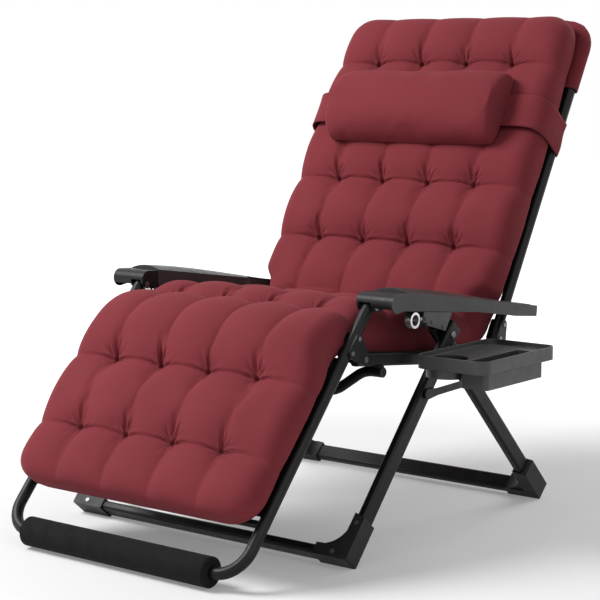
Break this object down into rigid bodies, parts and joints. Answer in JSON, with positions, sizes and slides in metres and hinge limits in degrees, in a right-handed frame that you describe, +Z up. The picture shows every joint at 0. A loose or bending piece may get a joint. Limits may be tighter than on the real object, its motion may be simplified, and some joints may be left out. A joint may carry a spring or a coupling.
{
  "type": "zero gravity recliner",
  "caption": "Folding lounge recliner with crossed tube legs, linked back, seat and footrest, tufted pad, head pillow, sliding locks, foot roller and side tray.",
  "frame": {"origin": "on the floor, on the centre plane of the chair, between its front and rear feet", "axes": "+Z up, the sitter faces -Y, the sitter's left hand and the side tray are at +X"},
  "size_m": [0.9553, 1.3557, 1.1535],
  "materials": {
    "frame_black": "satin black powder coat on steel tube",
    "bracket_black": "satin black powder coat on flat steel",
    "moulded_black": "fine-grained black moulding",
    "armrest_black": "satin black moulding",
    "arm_pad_black": "smooth satin black moulding",
    "nylon": "nylon",
    "fastener_steel": "zinc-plated",
    "lever_silver": "polished",
    "foam": "soft foam sleeve",
    "cushion_fabric": "matte brushed polyester, wine red",
    "sling_fabric": "woven mesh, black"
  },
  "bodies": {
    "rear_legs": {"rear_floor_bar": "frame_black", "rear_leg_left": "frame_black", "rear_leg_right": "frame_black", "rear_foot_left": "moulded_black", "rear_foot_right": "moulded_black", "rear_foot_rivets": "fastener_steel", "leg_pivot_bolts": "fastener_steel", "seat_pivot_bolts": "fastener_steel", "stay_pivot_bolts": "fastener_steel", "leg_top_shoes": "nylon"},
    "front_legs": {"front_floor_bar": "frame_black", "front_leg_left": "frame_black", "front_leg_right": "frame_black", "front_foot_left": "moulded_black", "front_foot_right": "moulded_black", "front_foot_rivets": "fastener_steel", "stay_studs": "fastener_steel", "tray_hanger": "moulded_black", "front_leg_plugs": "moulded_black"},
    "left_stay": {"stay_left": "bracket_black"},
    "right_stay": {"stay_right": "bracket_black"},
    "seat": {"seat_rail_left": "frame_black", "seat_rail_right": "frame_black", "rail_end_plugs": "moulded_black", "seat_cross_tube": "frame_black", "cross_tube_fixings": "moulded_black", "rail_bolts": "fastener_steel", "seat_sling": "sling_fabric", "seat_cushion": "cushion_fabric"},
    "footrest": {"footrest_frame": "frame_black", "footrest_plugs": "moulded_black", "knee_brackets": "bracket_black", "footrest_tie_tube": "frame_black", "footrest_rivets": "fastener_steel", "leg_sling": "sling_fabric", "leg_cushion": "cushion_fabric", "arm_front_bolts": "fastener_steel"},
    "roller": {"foot_roller": "foam"},
    "backrest": {"back_frame": "frame_black", "back_plugs": "moulded_black", "hip_brackets": "bracket_black", "back_cross_tube": "frame_black", "back_rivets": "fastener_steel", "back_sling": "sling_fabric", "back_cushion": "cushion_fabric", "cushion_pocket": "cushion_fabric", "arm_rear_bolts": "fastener_steel"},
    "armrests": {"armrest_left": "armrest_black", "armrest_right": "armrest_black", "arm_pad_left": "arm_pad_black", "arm_pad_right": "arm_pad_black", "lock_tracks": "fastener_steel"},
    "locks": {"lock_left": "moulded_black", "lock_right": "moulded_black", "lock_pins": "fastener_steel"},
    "left_lever": {"lock_lever_left": "lever_silver"},
    "right_lever": {"lock_lever_right": "lever_silver"},
    "pillow": {"head_pillow": "cushion_fabric", "pillow_strap": "cushion_fabric"},
    "tray": {"side_tray": "moulded_black"}
  },
  "joints": [
    {"name": "leg_fold", "type": "hinge", "parent": "rear_legs", "child": "front_legs", "pos_m": [0, -0.017, 0.434], "axis": [1, 0, 0], "range_deg": [0, 74]},
    {"name": "left_stay_swing", "type": "hinge", "parent": "rear_legs", "child": "left_stay", "pos_m": [0, 0.08771, 0.3266], "axis": [1, 0, 0], "range_deg": [0, 37]},
    {"name": "right_stay_swing", "type": "hinge", "parent": "rear_legs", "child": "right_stay", "pos_m": [0, 0.08771, 0.3266], "axis": [1, 0, 0], "range_deg": [0, 37]},
    {"name": "seat_tilt", "type": "hinge", "parent": "rear_legs", "child": "seat", "pos_m": [0, 0.05, 0.36528], "axis": [-1, 0, 0], "range_deg": [0, 14]},
    {"name": "recline", "type": "hinge", "parent": "seat", "child": "footrest", "pos_m": [0, -0.268, 0.408], "axis": [-1, 0, 0], "range_deg": [0, 35]},
    {"name": "back_tilt", "type": "hinge", "parent": "seat", "child": "backrest", "pos_m": [0, 0.25055, 0.34984], "axis": [-1, 0, 0], "range_deg": [0, 35]},
    {"name": "arm_swing", "type": "hinge", "parent": "footrest", "child": "armrests", "pos_m": [0, -0.239, 0.512], "axis": [-1, 0, 0], "range_deg": [-35, 0]},
    {"name": "lock_travel", "type": "slide", "parent": "armrests", "child": "locks", "axis": [0, 0.9938, -0.1115], "range_m": [-0.08, 0]},
    {"name": "left_lever_flip", "type": "hinge", "parent": "locks", "child": "left_lever", "pos_m": [0, -0.13169, 0.48185], "axis": [1, 0, 0], "range_deg": [0, 70]},
    {"name": "right_lever_flip", "type": "hinge", "parent": "locks", "child": "right_lever", "pos_m": [0, -0.13169, 0.48185], "axis": [1, 0, 0], "range_deg": [0, 70]},
    {"name": "foot_roller_spin", "type": "hinge", "parent": "footrest", "child": "roller", "pos_m": [0, -0.6528, 0.0343], "axis": [1, 0, 0], "continuous": true},
    {"name": "pillow_height", "type": "slide", "parent": "backrest", "child": "pillow", "axis": [0, 0.5, 0.866], "range_m": [-0.12, 0.05]},
    {"name": "tray_lift", "type": "slide", "parent": "front_legs", "child": "tray", "axis": [0, 0, 1], "range_m": [0, 0.034]}
  ],
  "couplings": [
    {"joint": "left_stay_swing", "follows": "leg_fold", "ratio": 0.5},
    {"joint": "right_stay_swing", "follows": "leg_fold", "ratio": 0.5},
    {"joint": "seat_tilt", "follows": "recline", "ratio": 0.394},
    {"joint": "back_tilt", "follows": "recline", "ratio": 1},
    {"joint": "arm_swing", "follows": "recline", "ratio": -1},
    {"joint": "lock_travel", "follows": "recline", "m_per_rad": -0.1254}
  ]
}
